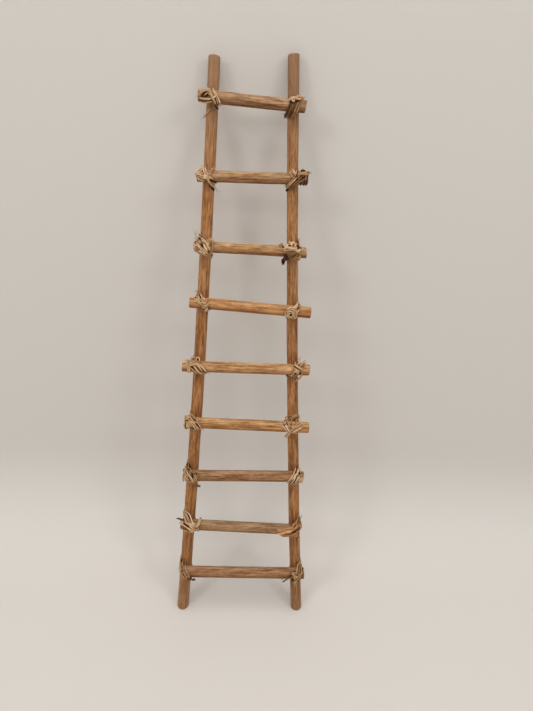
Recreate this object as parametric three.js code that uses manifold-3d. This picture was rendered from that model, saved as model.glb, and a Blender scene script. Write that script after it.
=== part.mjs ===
// A small rustic ladder of peeled cane: two splayed rails, nine rungs laid across the front of them,
// and a fibre lashing tied round every crossing.
// Millimetres, +Z up. The feet stand on z = 0, the front faces -Y, and the top leans back towards +Y.
import * as THREE from 'three';
import { mergeVertices } from 'three/addons/utils/BufferGeometryUtils.js';
import Module from 'manifold-3d';

const wasm = await Module();
wasm.setup();

// --- Driving dimensions ---------------------------------------------------------------------------
const LEAN = THREE.MathUtils.degToRad(12.8); // how far the ladder leans back from upright
const GAP = 0.3; // clearance between pieces that touch
const FIRST_RUNG = 50; // height of the lowest rung along the rails
const RISE = 52; // nominal spacing of the rungs

// Each rail: where its foot and its top are across the ladder, its length, how far it bows inward, and its
// radius at the foot and the top.
const RAILS = {
  left: { foot: -57.3, top: -34, length: 494.6, bow: 2.2, radius: [5.6, 4.4] },
  right: { foot: 57.1, top: 23.8, length: 499, bow: -2.2, radius: [5.35, 4.28] },
};
const SAWN_OFF = 4; // how much longer a rail is before its foot is cut level with the floor

// The rungs, lowest first. offset: height above or below the nominal spacing. tilt: degrees, right end up.
// past: how far the left and right ends reach past the rails' centre lines. strands: how many strands
// each lashing's main bundle has, left and right. knot: where each knot sits from the crossing.
const RUNGS = [
  { offset: 0, tilt: 0, past: [4.1, 7.5], thickness: 10.7, strands: [5, 5], knot: [[2, 1], [-3, -3]] },
  { offset: -1.35, tilt: -2, past: [7, 4], thickness: 10, strands: [4, 6], knot: [[-2, -2], [1, 3]] },
  { offset: 0.85, tilt: 0.75, past: [5.6, 8], thickness: 10.2, strands: [6, 4], knot: [[2, -3], [-2, 2]] },
  { offset: -0.8, tilt: -1, past: [6.8, 13.2], thickness: 9.7, strands: [4, 5], knot: [[-1, 2], [0, 4]] },
  { offset: 0, tilt: 0, past: [13.5, 13.8], thickness: 9.5, strands: [6, 5], knot: [[-3, 3], [2, 2]] },
  { offset: 0.55, tilt: -3, past: [10, 14.8], thickness: 9.4, strands: [5, 4], knot: [[0, 0], [-3, -3]] },
  { offset: -4.6, tilt: -1, past: [5.6, 10.5], thickness: 8.9, strands: [5, 5], knot: [[-1, 2], [0, 1]] },
  { offset: -2.3, tilt: 1, past: [8.7, 11.3], thickness: 8.7, strands: [5, 5], knot: [[-2, 0], [1, 3]] },
  { offset: -1.5, tilt: -2.75, past: [10, 8.9], thickness: 8.7, strands: [4, 4], knot: [[-4, 2], [1, 2]] },
];

// Lashings
const STRAND = 1.25; // width of one flat fibre strand
const LAYER = 1.2; // thickness of one layer of strands
const COUNTER_STRANDS = 3; // strands in the bundle that crosses the main one
const SLANT = THREE.MathUtils.degToRad(48); // angle of the bundles across the rung
const CORD_CLEARANCE = 0.45; // from the poles to the strands, wide enough for the poles' facets
const KNOT = [2.7, 1.5, 2.2]; // half sizes of a knot: across, deep, high
const SECTION = [ // a bundle's corners: the inner or outer face of its layer, and which edge
  { layer: 1, edge: 1 },
  { layer: 0, edge: 1 },
  { layer: 0, edge: -1 },
  { layer: 1, edge: -1 },
];

// Facets
const POLE_SIDES = 14;
const RAIL_STEPS = 8;
const RUNG_STEPS = 2;
const LOOP_STEPS = 18;
const KNOT_SIDES = 8;

// --- Materials ------------------------------------------------------------------------------------
const railCane = new THREE.MeshStandardMaterial({ color: 0x97704e, roughness: 0.62, metalness: 0 });
const rungCane = new THREE.MeshStandardMaterial({ color: 0xa88059, roughness: 0.6, metalness: 0 });
const fibre = new THREE.MeshStandardMaterial({ color: 0xc8aa7d, roughness: 0.85, metalness: 0 });

// --- Solids ---------------------------------------------------------------------------------------
function toSolid(geometry) {
  const bare = geometry.clone();
  bare.deleteAttribute('normal');
  bare.deleteAttribute('uv');
  const merged = mergeVertices(bare, 1e-4);
  return new wasm.Manifold(new wasm.Mesh({
    numProp: 3,
    vertProperties: new Float32Array(merged.attributes.position.array),
    triVerts: new Uint32Array(merged.index.array),
  }));
}

function toGeometry(solid) {
  const mesh = solid.getMesh();
  const geometry = new THREE.BufferGeometry();
  geometry.setAttribute('position', new THREE.BufferAttribute(mesh.vertProperties, 3));
  geometry.setIndex(new THREE.BufferAttribute(mesh.triVerts, 1));
  geometry.computeVertexNormals();
  return geometry;
}

function piece(name, geometry, material) {
  const mesh = new THREE.Mesh(geometry, material);
  mesh.name = name;
  return mesh;
}

// --- Poles ----------------------------------------------------------------------------------------
// A tapered round pole that stands on its lower end along +Z and bows towards +X at mid-length.
function pole(length, lowRadius, highRadius, bow, steps) {
  const profile = [new THREE.Vector2(0, 0)];
  for (let i = 0; i <= steps; i++) {
    const t = i / steps;
    profile.push(new THREE.Vector2(THREE.MathUtils.lerp(lowRadius, highRadius, t), length * t));
  }
  profile.push(new THREE.Vector2(0, length));
  const geometry = new THREE.LatheGeometry(profile, POLE_SIDES);
  geometry.rotateX(Math.PI / 2);
  const position = geometry.attributes.position;
  for (let i = 0; i < position.count; i++) {
    position.setX(i, position.getX(i) + bowAt(bow, position.getZ(i) / length));
  }
  return geometry;
}

function bowAt(bow, t) {
  return bow * 4 * t * (1 - t);
}

// Where a rail's centre line is across the ladder at a height, its angle there and its radius.
function railAt(rail, height) {
  const t = height / rail.length;
  const x = THREE.MathUtils.lerp(rail.foot, rail.top, t) + bowAt(rail.bow, t);
  const slope = (rail.top - rail.foot + rail.bow * 4 * (1 - 2 * t)) / rail.length;
  return {
    x,
    angle: Math.PI / 2 - Math.atan(slope),
    radius: THREE.MathUtils.lerp(...rail.radius, t),
  };
}

// The rail is made a little too long and sawn off level with the floor, which is tilted in the ladder's
// own plane.
function railGeometry(rail) {
  const angle = Math.atan2(rail.top - rail.foot, rail.length);
  const length = rail.length / Math.cos(angle);
  const shaft = pole(length + SAWN_OFF, ...rail.radius, rail.bow, RAIL_STEPS);
  shaft.translate(0, 0, -SAWN_OFF);
  shaft.rotateY(angle);
  shaft.translate(rail.foot, 0, 0);
  const underFloor = new THREE.BoxGeometry(300, 100, 60);
  underFloor.translate(0, 0, -30);
  underFloor.rotateX(LEAN);
  return toGeometry(toSolid(shaft).subtract(toSolid(underFloor)));
}

// --- Crossings ------------------------------------------------------------------------------------
// A rung's centre line passes the ladder's middle at its own height and is turned by its tilt.
function crossingOf(rung, number, rail) {
  const tilt = THREE.MathUtils.degToRad(rung.tilt);
  const middle = FIRST_RUNG + RISE * (number - 1) + rung.offset;
  let height = middle;
  for (let pass = 0; pass < 3; pass++) height = middle + railAt(rail, height).x * Math.tan(tilt);
  const at = railAt(rail, height);
  return {
    x: at.x,
    z: height,
    depth: -(at.radius + rung.thickness / 2 + GAP),
    rung: { angle: tilt, radius: rung.thickness / 2 },
    rail: { angle: at.angle, radius: at.radius },
  };
}

// --- Lashings -------------------------------------------------------------------------------------
// A pole cut by an upright plane along the slant, shifted sideways from the crossing: an ellipse.
function cutEllipse(poleAxis, slant, shift, depth) {
  const turn = slant - poleAxis.angle;
  return {
    along: -shift / Math.tan(turn),
    depth,
    long: poleAxis.radius / Math.abs(Math.sin(turn)),
    deep: poleAxis.radius,
  };
}

// The farthest point of the ellipse in direction phi, and how far out it reaches.
function support(ellipse, phi) {
  const c = Math.cos(phi);
  const s = Math.sin(phi);
  const reach = Math.hypot(ellipse.long * c, ellipse.deep * s);
  return {
    along: ellipse.along + (ellipse.long ** 2 * c) / reach,
    depth: ellipse.depth + (ellipse.deep ** 2 * s) / reach,
    reach: reach + ellipse.along * c + ellipse.depth * s,
  };
}

// A flat bundle drawn tight round both poles: a ring of rectangular section that follows the convex
// outline of the two ellipses, with each edge on its own pair. Origin at the crossing, on the rail's axis.
function bundle(crossing, slant, width, lift) {
  const ring = new THREE.TorusGeometry(1, 0.5, SECTION.length, LOOP_STEPS);
  const position = ring.attributes.position;
  for (let corner = 0; corner <= SECTION.length; corner++) {
    const { layer, edge } = SECTION[corner % SECTION.length];
    const shift = (edge * width) / 2;
    const off = CORD_CLEARANCE + lift + layer * LAYER;
    for (let step = 0; step <= LOOP_STEPS; step++) {
      const phi = ((step % LOOP_STEPS) / LOOP_STEPS) * 2 * Math.PI;
      const onRung = support(cutEllipse(crossing.rung, slant, shift, crossing.depth), phi);
      const onRail = support(cutEllipse(crossing.rail, slant, shift, 0), phi);
      const hull = onRung.reach > onRail.reach ? onRung : onRail;
      const along = hull.along + off * Math.cos(phi);
      const depth = hull.depth + off * Math.sin(phi);
      position.setXYZ(corner * (LOOP_STEPS + 1) + step, along, depth, shift);
    }
  }
  return ring.applyMatrix4(new THREE.Matrix4().makeBasis(
    new THREE.Vector3(Math.cos(slant), 0, Math.sin(slant)),
    new THREE.Vector3(0, 1, 0),
    new THREE.Vector3(-Math.sin(slant), 0, Math.cos(slant)),
  ));
}

// The main bundle falls towards the ladder's middle, and a thinner one crosses over it.
function lashingGeometry(crossing, side, strands, knotAt) {
  const fall = side === 'left' ? -SLANT : SLANT;
  const main = toSolid(bundle(crossing, fall, strands * STRAND, 0));
  const counter = toSolid(bundle(crossing, -fall, COUNTER_STRANDS * STRAND, LAYER / 2));
  const knot = new THREE.SphereGeometry(1, KNOT_SIDES, KNOT_SIDES - 2);
  knot.scale(...KNOT);
  const front = crossing.depth - crossing.rung.radius - CORD_CLEARANCE - LAYER - KNOT[1] / 2;
  knot.translate(knotAt[0], front, knotAt[1]);
  return toGeometry(main.add(counter).add(toSolid(knot)));
}

// --- Assembly -------------------------------------------------------------------------------------
const ladder = new THREE.Group();
for (const [side, rail] of Object.entries(RAILS)) {
  ladder.add(piece(`${side}_rail`, railGeometry(rail), railCane));
}
RUNGS.forEach((rung, index) => {
  const number = index + 1;
  const crossings = {
    left: crossingOf(rung, number, RAILS.left),
    right: crossingOf(rung, number, RAILS.right),
  };
  const tilt = crossings.left.rung.angle;
  const span = (crossings.right.x - crossings.left.x) / Math.cos(tilt);
  const radius = rung.thickness / 2;
  const bar = piece(
    `rung_${number}`,
    toGeometry(toSolid(pole(span + rung.past[0] + rung.past[1], radius, radius, 0, RUNG_STEPS))),
    rungCane,
  );
  bar.position.set(
    crossings.left.x - rung.past[0] * Math.cos(tilt),
    Math.min(crossings.left.depth, crossings.right.depth),
    crossings.left.z - rung.past[0] * Math.sin(tilt),
  );
  bar.rotation.y = Math.PI / 2 - tilt;
  ladder.add(bar);
  ['left', 'right'].forEach((side, end) => {
    const crossing = crossings[side];
    const geometry = lashingGeometry(crossing, side, rung.strands[end], rung.knot[end]);
    const lashing = piece(`rung_${number}_${side}_lashing`, geometry, fibre);
    lashing.position.set(crossing.x, 0, crossing.z);
    ladder.add(lashing);
  });
});
ladder.rotation.x = -LEAN;

// The origin is on the floor under the middle of the ladder's box.
const leaningLadder = new THREE.Group();
leaningLadder.add(ladder);
leaningLadder.updateMatrixWorld(true);
const box = new THREE.Box3().setFromObject(leaningLadder, true);
const centre = box.getCenter(new THREE.Vector3());
ladder.position.set(-centre.x, -centre.y, -box.min.z);

export default leaningLadder;
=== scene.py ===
"""The looks of a small rustic ladder: peeled cane poles and lashings of dry fibre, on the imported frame."""

import math

import bpy
import numpy as np
from mathutils import Matrix, Vector, noise


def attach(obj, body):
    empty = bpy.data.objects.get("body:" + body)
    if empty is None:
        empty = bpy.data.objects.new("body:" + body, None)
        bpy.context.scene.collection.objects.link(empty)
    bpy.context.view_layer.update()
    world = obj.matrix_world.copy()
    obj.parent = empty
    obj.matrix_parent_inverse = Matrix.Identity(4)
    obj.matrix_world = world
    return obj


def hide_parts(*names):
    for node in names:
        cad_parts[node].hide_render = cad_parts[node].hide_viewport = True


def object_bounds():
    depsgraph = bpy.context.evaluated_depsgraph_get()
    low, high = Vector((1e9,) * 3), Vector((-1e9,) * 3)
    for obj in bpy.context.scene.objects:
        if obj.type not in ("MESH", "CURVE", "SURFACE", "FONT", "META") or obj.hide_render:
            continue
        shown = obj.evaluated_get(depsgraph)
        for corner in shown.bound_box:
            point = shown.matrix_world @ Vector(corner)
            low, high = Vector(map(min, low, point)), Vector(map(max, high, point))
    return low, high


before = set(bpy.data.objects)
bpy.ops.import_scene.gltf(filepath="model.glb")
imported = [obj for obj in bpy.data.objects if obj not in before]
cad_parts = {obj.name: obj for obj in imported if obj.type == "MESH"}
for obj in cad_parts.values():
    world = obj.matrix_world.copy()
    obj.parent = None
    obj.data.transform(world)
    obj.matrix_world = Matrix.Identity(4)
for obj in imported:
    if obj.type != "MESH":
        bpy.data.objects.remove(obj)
cad_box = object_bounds()

MM = 0.001
RUNG_COUNT = sum(name.startswith("rung_") and name.count("_") == 1 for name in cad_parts)


# --- What the frame says --------------------------------------------------------------------------


def unit(vector):
    return vector / np.linalg.norm(vector, axis=-1, keepdims=True)


def node_points(node):
    """The different corners of a CAD node's mesh."""
    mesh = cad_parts[node].data
    flat = np.zeros(3 * len(mesh.vertices))
    mesh.vertices.foreach_get("co", flat)
    return np.unique(flat.reshape(-1, 3).round(6), axis=0)


class Pole:
    """The centre line and radius of a CAD pole, read from the rings of its mesh."""

    RING_GAP = 5 * MM

    def __init__(self, node, towards):
        points = node_points(node)
        middle = points.mean(0)
        axis = np.linalg.svd(points - middle, full_matrices=False)[2][0]
        self.axis = axis * np.sign(axis @ towards)
        along = (points - middle) @ self.axis
        order = np.argsort(along)
        breaks = np.flatnonzero(np.diff(along[order]) > self.RING_GAP) + 1
        rings = np.split(points[order], breaks)
        centres = np.array([ring.mean(0) for ring in rings])
        radii = [np.linalg.norm(ring - centre, axis=1).max() for ring, centre in zip(rings, centres)]
        stations = (centres - middle) @ self.axis
        self.low = stations[0]
        self.length = stations[-1] - self.low
        self.curve = np.polyfit(stations, centres, min(2, len(rings) - 1))
        self.taper = np.polyfit(stations[1:], radii[1:], 1)

    def centre(self, station):
        """The centre line at distances along the axis, from 0 at the low end."""
        s = np.asarray(station)[..., None] + self.low
        return sum(row * s ** (len(self.curve) - 1 - i) for i, row in enumerate(self.curve))

    def radius(self, station):
        """The radius at distances along the axis."""
        return np.polyval(self.taper, np.asarray(station) + self.low)


ACROSS = np.array([1.0, 0.0, 0.0])
rails = {side: Pole(f"{side}_rail", np.array([0, 0, 1.0])) for side in ("left", "right")}
rungs = {number: Pole(f"rung_{number}", ACROSS) for number in range(1, RUNG_COUNT + 1)}

# The ladder's own plane: UP runs along the ladder, BACK points away from the rungs.
UP = rails["left"].axis + rails["right"].axis
UP = unit(UP * np.array([0, 1, 1]))
BACK = np.cross(UP, ACROSS)


# --- Mesh building --------------------------------------------------------------------------------


class Shell:
    """Collects closed tubes into one mesh. Every corner carries a tone and its place in the straightened
    tube, which the materials lay their grain along."""

    def __init__(self):
        self.corners = []
        self.faces = []
        self.places = []
        self.tones = []
        self.count = 0

    def add_rings(self, rings, places, tone):
        """Adds a tube of n rings with m corners each. The two end rings are closed by fans."""
        n, m = rings.shape[:2]
        start = self.count
        self.corners.append(rings.reshape(-1, 3))
        self.places.append(places.reshape(-1, 3))
        j = np.arange(m)
        k = (j + 1) % m
        for i in range(n - 1):
            low, high = start + i * m, start + (i + 1) * m
            self.faces.extend(np.column_stack([low + j, low + k, high + k, high + j]).tolist())
        self.count += n * m
        for i, turned in ((0, True), (n - 1, False)):
            self.corners.append(rings[i].mean(0, keepdims=True))
            self.places.append(places[i].mean(0, keepdims=True))
            hub = np.full(m, self.count)
            rim = start + i * m
            fan = [hub, rim + k, rim + j] if turned else [hub, rim + j, rim + k]
            self.faces.extend(np.column_stack(fan).tolist())
            self.count += 1
        self.tones.append(np.full(n * m + 2, tone))

    def finish(self, name, material, nodes, slot):
        """Makes the piece that stands for some CAD nodes."""
        mesh = bpy.data.meshes.new(name)
        mesh.from_pydata(np.concatenate(self.corners).tolist(), [], self.faces)
        mesh.polygons.foreach_set("use_smooth", np.ones(len(mesh.polygons), bool))
        place = mesh.attributes.new("place", "FLOAT_VECTOR", "POINT")
        place.data.foreach_set("vector", np.concatenate(self.places).ravel())
        tone = mesh.attributes.new("tone", "FLOAT", "POINT")
        tone.data.foreach_set("value", np.concatenate(self.tones))
        mesh.materials.append(material)
        piece = bpy.data.objects.new(name, mesh)
        bpy.context.scene.collection.objects.link(piece)
        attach(piece, "root")
        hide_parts(*nodes)


SEED_SHIFT = np.array([7.31, 3.17, 5.03])  # how far one seed's noise lies from the next one's


def noise_at(points, scale, seed=0.0):
    """Smooth noise from about -1 to 1 at each of the points, with lumps about one scale across."""
    shifted = np.asarray(points).reshape(-1, 3) / scale + seed * SEED_SHIFT
    values = np.array([noise.noise(point) for point in shifted.tolist()])
    return values.reshape(np.shape(points)[:-1])


# --- Cane poles -----------------------------------------------------------------------------------

CANE_SIDES = 64
CANE_STEP = 1.6 * MM
RIM = 0.9 * MM  # how far a sawn end's edge is rounded over
RIM_STEPS = 5
WEAR = 0.5  # share by which the rounding varies round the end
LOW_SLANT = 0.1  # how far off square the low end is sawn
HIGH_SLANT = (0.12, 0.1)  # the same for the high end, sideways and forward
OVAL = 0.018  # share by which a cane is wider one way
FLATS = 9  # shaved flats round a peeled cane
FLAT_ASTRAY = 0.3  # how unevenly they stand, as a share of their spacing
FLAT_DEPTH = 0.955  # from the centre line to a flat, as a share of the radius
FLAT_WAVE = 0.03  # how far that varies along the flat
FLAT_WAVE_LENGTH = 60 * MM
FLAT_REACH = 0.3  # the cosine of the angle beyond which a flat cuts nothing
FLAT_BLEND = 0.75  # share of each cut that is left after the flats are worn round
WAVES = 0.014  # share by which a cane swells and narrows
WAVE_WIDTH = 9 * MM
RIDGES = (  # height, stretch along the cane, width and seed of each layer of lengthwise ridges
    (0.07 * MM, 0.03, 1.1 * MM, 0.5),
    (0.05 * MM, 0.2, 0.7 * MM, 0.7),
)
WANDER = 0.22 * MM  # how far the centre line strays sideways and forward
SWAY_LENGTH = 45 * MM  # sideways
NOD_LENGTH = 60 * MM  # forward
WANDER_FREE = 15 * MM  # from an end, where it starts to stray fully
INNER_RINGS = (0.35, 0.7)  # sizes of the rings inside a sawn end
END_ONLY = 8  # the power that keeps an end's slant out of the rest of the cane


def cane(node, pole, material, slot, seed, on_floor=False):
    """A peeled cane in place of a CAD pole: shaved flats, lengthwise ridges, slight waves and sawn ends."""
    rng = np.random.default_rng(seed)
    angles = np.arange(CANE_SIDES) * 2 * np.pi / CANE_SIDES
    side = unit(np.cross(pole.axis, BACK))
    front = np.cross(pole.axis, side)
    spokes = np.cos(angles)[:, None] * side + np.sin(angles)[:, None] * front

    steps = int(pole.length / CANE_STEP)
    rim = RIM * (1 - np.cos(np.linspace(0, np.pi / 2, RIM_STEPS)))
    between = np.linspace(RIM, pole.length - RIM, steps)[1:-1]
    stations = np.concatenate([rim, between, pole.length - rim[::-1]])
    zero = 0 * stations
    share = stations / pole.length

    # Ends: the foot follows the floor, the other ends are sawn a little off square.
    if on_floor:
        low_slant = -spokes[:, 2] / pole.axis[2]
    else:
        low_slant = spokes @ side * rng.uniform(-LOW_SLANT, LOW_SLANT)
    aside, forward = (rng.uniform(-most, most) for most in HIGH_SLANT)
    high_slant = spokes @ side * aside + spokes @ front * forward

    base = pole.radius(stations)[:, None]
    s = np.broadcast_to(stations[:, None], (len(stations), CANE_SIDES))
    # The place in the straightened pole, where the noise and the material's grain are laid out.
    straight = np.stack([base * np.cos(angles), base * np.sin(angles), s], -1)

    radius = base * (1 + OVAL * np.cos(2 * (angles - rng.uniform(0, np.pi))))
    for flat in range(FLATS):
        facing = 2 * np.pi * (flat + rng.uniform(-FLAT_ASTRAY, FLAT_ASTRAY)) / FLATS
        wave = noise_at(np.stack([zero, zero + flat, stations], -1), FLAT_WAVE_LENGTH, seed)
        depth = (FLAT_DEPTH + FLAT_WAVE * wave)[:, None]
        cut = depth * base / np.maximum(np.cos(angles - facing), FLAT_REACH)
        radius = np.minimum(radius, cut) * FLAT_BLEND + radius * (1 - FLAT_BLEND)
    radius = radius * (1 + WAVES * noise_at(straight * (1, 1, 0.3), WAVE_WIDTH, seed))
    for height, stretch, width, layer in RIDGES:
        radius = radius + height * noise_at(straight * (1, 1, stretch), width, seed + layer)

    # Rounded rims, worn by different amounts round the end.
    wear = 1 + WEAR * noise_at(np.stack([np.cos(angles), np.sin(angles), 0 * angles], -1), 0.8, seed)
    for from_end in (stations, pole.length - stations):
        short = np.clip(1 - from_end / RIM, 0, 1)[:, None]
        radius = radius - RIM * wear * (1 - np.sqrt(np.maximum(1 - short**2, 0)))

    along = np.stack([stations, zero, zero], -1)
    sway = WANDER * noise_at(along, SWAY_LENGTH, seed + 0.2)
    nod = WANDER * noise_at(along, NOD_LENGTH, seed + 0.4)
    fade = np.minimum(1, np.minimum(stations, pole.length - stations) / WANDER_FREE)
    line = pole.centre(stations) + (sway * fade)[:, None] * side + (nod * fade)[:, None] * front

    slant = low_slant * (1 - share)[:, None] ** END_ONLY + high_slant * share[:, None] ** END_ONLY
    rings = line[:, None] + radius[..., None] * spokes + (radius * slant)[..., None] * pole.axis
    if on_floor:
        rings[..., 2] = np.maximum(rings[..., 2], 0)

    shell = Shell()
    capped, places = close_ends(rings, straight)
    shell.add_rings(capped, places, rng.uniform())
    shell.finish(f"{node}_cane", material, [node], slot)


def close_ends(rings, places):
    """Adds two smaller rings inside each end ring, so that the sawn faces have corners for their grain."""

    def shrunk(ring, share):
        return ring.mean(0) + (ring - ring.mean(0)) * share

    def closed(tube):
        low = [shrunk(tube[0], share) for share in INNER_RINGS]
        high = [shrunk(tube[-1], share) for share in reversed(INNER_RINGS)]
        return np.array([*low, *tube, *high])

    return closed(rings), closed(places)


# --- Materials ------------------------------------------------------------------------------------


class Nodes:
    """A short way to write a material's nodes."""

    def __init__(self, name):
        self.material = bpy.data.materials.new(name)
        self.material.use_nodes = True
        self.tree = self.material.node_tree
        self.shader = self.tree.nodes["Principled BSDF"]

    def add(self, kind, **settings):
        node = self.tree.nodes.new(kind)
        for key, value in settings.items():
            setattr(node, key, value)
        return node

    def link(self, source, target):
        self.tree.links.new(source, target)

    def attribute(self, name):
        return self.add("ShaderNodeAttribute", attribute_name=name)

    def stretched(self, source, scale, offset=(0, 0, 0)):
        """The place times a scale along each axis, in features per metre."""
        mapping = self.add("ShaderNodeMapping")
        mapping.inputs["Scale"].default_value = scale
        mapping.inputs["Location"].default_value = offset
        self.link(source, mapping.inputs["Vector"])
        return mapping.outputs["Vector"]

    def parts(self, vector):
        """The X, Y and Z of a vector."""
        split = self.add("ShaderNodeSeparateXYZ")
        self.link(vector, split.inputs["Vector"])
        return split.outputs

    def noise(self, vector, detail=3, roughness=0.55):
        texture = self.add("ShaderNodeTexNoise")
        texture.inputs["Scale"].default_value = 1
        texture.inputs["Detail"].default_value = detail
        texture.inputs["Roughness"].default_value = roughness
        self.link(vector, texture.inputs["Vector"])
        return texture.outputs["Fac"]

    def ramp(self, source, *stops):
        """Colours or greys at positions from 0 to 1."""
        ramp = self.add("ShaderNodeValToRGB")
        elements = ramp.color_ramp.elements
        while len(elements) < len(stops):
            elements.new(1)
        for element, (position, tint) in zip(elements, stops):
            element.position = position
            element.color = (*tint, 1) if len(tint) == 3 else (*tint * 3, 1)
        self.link(source, ramp.inputs["Fac"])
        return ramp.outputs["Color"]

    def mix(self, share, first, second, blend="MIX"):
        node = self.add("ShaderNodeMix", data_type="RGBA", blend_type=blend)
        for key, value in (("Factor", share), ("A", first), ("B", second)):
            self.put(node.inputs[key], value)
        return node.outputs["Result"]

    def times(self, share, look, factors):
        """The look with a share of it multiplied by the factors."""
        return self.mix(share, look, factors, "MULTIPLY")

    def math(self, operation, *values):
        node = self.add("ShaderNodeMath", operation=operation)
        for socket, value in zip(node.inputs, values):
            self.put(socket, value)
        return node.outputs[0]

    def put(self, socket, value):
        """Links a socket or sets it to a colour or number."""
        if isinstance(value, bpy.types.NodeSocket):
            self.link(value, socket)
        elif isinstance(value, tuple):
            socket.default_value = (*value, 1)
        else:
            socket.default_value = value

    def bump(self, height, distance, strength):
        node = self.add("ShaderNodeBump")
        node.inputs["Strength"].default_value = strength
        node.inputs["Distance"].default_value = distance
        self.link(height, node.inputs["Height"])
        self.link(node.outputs["Normal"], self.shader.inputs["Normal"])


def colour(red, green, blue):
    """A linear colour from its 0 to 255 screen values."""

    def linear(value):
        value /= 255
        return value / 12.92 if value <= 0.04045 else ((value + 0.055) / 1.055) ** 2.4

    return (linear(red), linear(green), linear(blue))


def tinted(body, factors):
    """A colour with its red, green and blue multiplied."""
    return tuple(value * factor for value, factor in zip(body, factors))


def cane_material(name, body, seed, ends=None, radius=None):
    """Peeled cane: flecked fibres, pale shaved patches, dark lengthwise lines and a satin skin. A rail gives
    ends, its length and the colour that its ends have weathered to, and is darker and redder towards its foot
    and paler near its top.
    A rung gives its radius, for painted shade and light: darker underneath and paler on top, the way the
    light falls on it."""
    n = Nodes(name)
    place = n.attribute("place").outputs["Vector"]
    shift = (seed * 1.7, seed * 2.3, seed * 0.9)
    pale, dark = tinted(body, (1.3, 1.4, 1.5)), tinted(body, (0.66, 0.57, 0.48))
    broad = n.noise(n.stretched(place, (330, 330, 34), shift), 3, 0.6)
    fine = n.noise(n.stretched(place, (1500, 1500, 70), shift), 4, 0.62)
    hairs = n.noise(n.stretched(place, (3400, 3400, 160), shift), 2, 0.6)
    flecks = n.noise(n.stretched(place, (620, 620, 230), shift), 3, 0.6)
    patch = n.noise(n.stretched(place, (170, 170, 75), shift), 2)
    look = n.ramp(broad, (0.36, dark), (0.5, body), (0.66, pale))
    look = n.times(0.85, look, n.ramp(fine, (0.3, (0.5, 0.42, 0.34)), (0.5, (1,)), (0.7, (1.2,))))
    look = n.times(0.5, look, n.ramp(hairs, (0.35, (0.7, 0.66, 0.6)), (0.6, (1.06,))))
    look = n.times(0.7, look, n.ramp(flecks, (0.34, (0.7, 0.6, 0.5)), (0.52, (1,)), (0.7, (1.2,))))
    streaks = n.noise(n.stretched(place, (900, 900, 55), (shift[1], 0, 4)), 1)
    lines = n.math("MULTIPLY", n.ramp(streaks, (0.59, (0,)), (0.67, (1,))), 0.8)
    look = n.mix(lines, look, tinted(body, (0.36, 0.25, 0.17)))
    look = n.mix(n.math("MULTIPLY", n.ramp(patch, (0.56, (0,)), (0.7, (1,))), 0.4), look, pale)
    # Painted shade and light: a rung's colour is darker underneath and paler on top, the way the light from
    # above falls on it.
    if radius is not None:
        facing = n.math("MULTIPLY_ADD", n.parts(place)["X"], 0.5 / radius, 0.5)
        under, middle, top = (0.62, 0.5, 0.42), (0.97, 0.93, 0.9), (1.09, 1.16, 1.24)
        look = n.times(1.0, look, n.ramp(facing, (0.05, under), (0.5, middle), (0.9, top)))
    if ends is not None:
        length, grey = ends
        along = n.math("DIVIDE", n.parts(place)["Z"], length)
        # Darker and redder towards the foot, paler near the top.
        low, middle = (0.86, 0.81, 0.74), (0.9, 0.85, 0.78)
        foot_to_top_tint = n.ramp(along, (0.08, low), (0.45, middle), (0.7, (0.96,)), (0.88, (1.14,)))
        look = n.times(1.0, look, foot_to_top_tint)
        worn = n.ramp(along, (0, (0.55,)), (0.1, (0.12,)), (0.25, (0,)), (0.8, (0,)), (0.96, (0.75,)))
        look = n.mix(worn, look, n.times(1.0, n.ramp(fine, (0.3, (0.72,)), (0.7, (1.1,))), grey))
    n.link(look, n.shader.inputs["Base Color"])
    n.link(n.ramp(fine, (0.3, (0.72,)), (0.7, (0.5,))), n.shader.inputs["Roughness"])
    n.shader.inputs["Specular IOR Level"].default_value = 0.2
    n.bump(n.mix(0.5, fine, hairs), 0.14 * MM, 0.9)
    return n.material


# --- The poles ------------------------------------------------------------------------------------

FIRST_RAIL_SEED = 1
RUNG_SEEDS = 10
LASHING_SEEDS = 100

rail_bodies = {"left": colour(184, 131, 84), "right": colour(182, 130, 84)}
weathered = {"left": colour(160, 126, 96), "right": colour(146, 115, 88)}
for index, (side, pole) in enumerate(rails.items()):
    ends = (pole.length, weathered[side])
    look = cane_material(f"{side}_rail_cane", rail_bodies[side], FIRST_RAIL_SEED + index, ends=ends)
    cane(f"{side}_rail", pole, look, "rail_cane", FIRST_RAIL_SEED + index, on_floor=True)

rung_bodies = {
    9: (176, 138, 104), 8: (174, 135, 97), 7: (186, 144, 98),
    6: (196, 146, 98), 5: (198, 152, 106), 4: (194, 146, 98),
    3: (160, 120, 84), 2: (161, 125, 91), 1: (159, 117, 82),
}
for number, pole in rungs.items():
    seed = RUNG_SEEDS + number
    look = cane_material(f"rung_{number}_cane", colour(*rung_bodies[number]), seed, radius=pole.radius(0.0))
    cane(f"rung_{number}", pole, look, "rung_cane", seed)


# --- Crossings ------------------------------------------------------------------------------------


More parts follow.
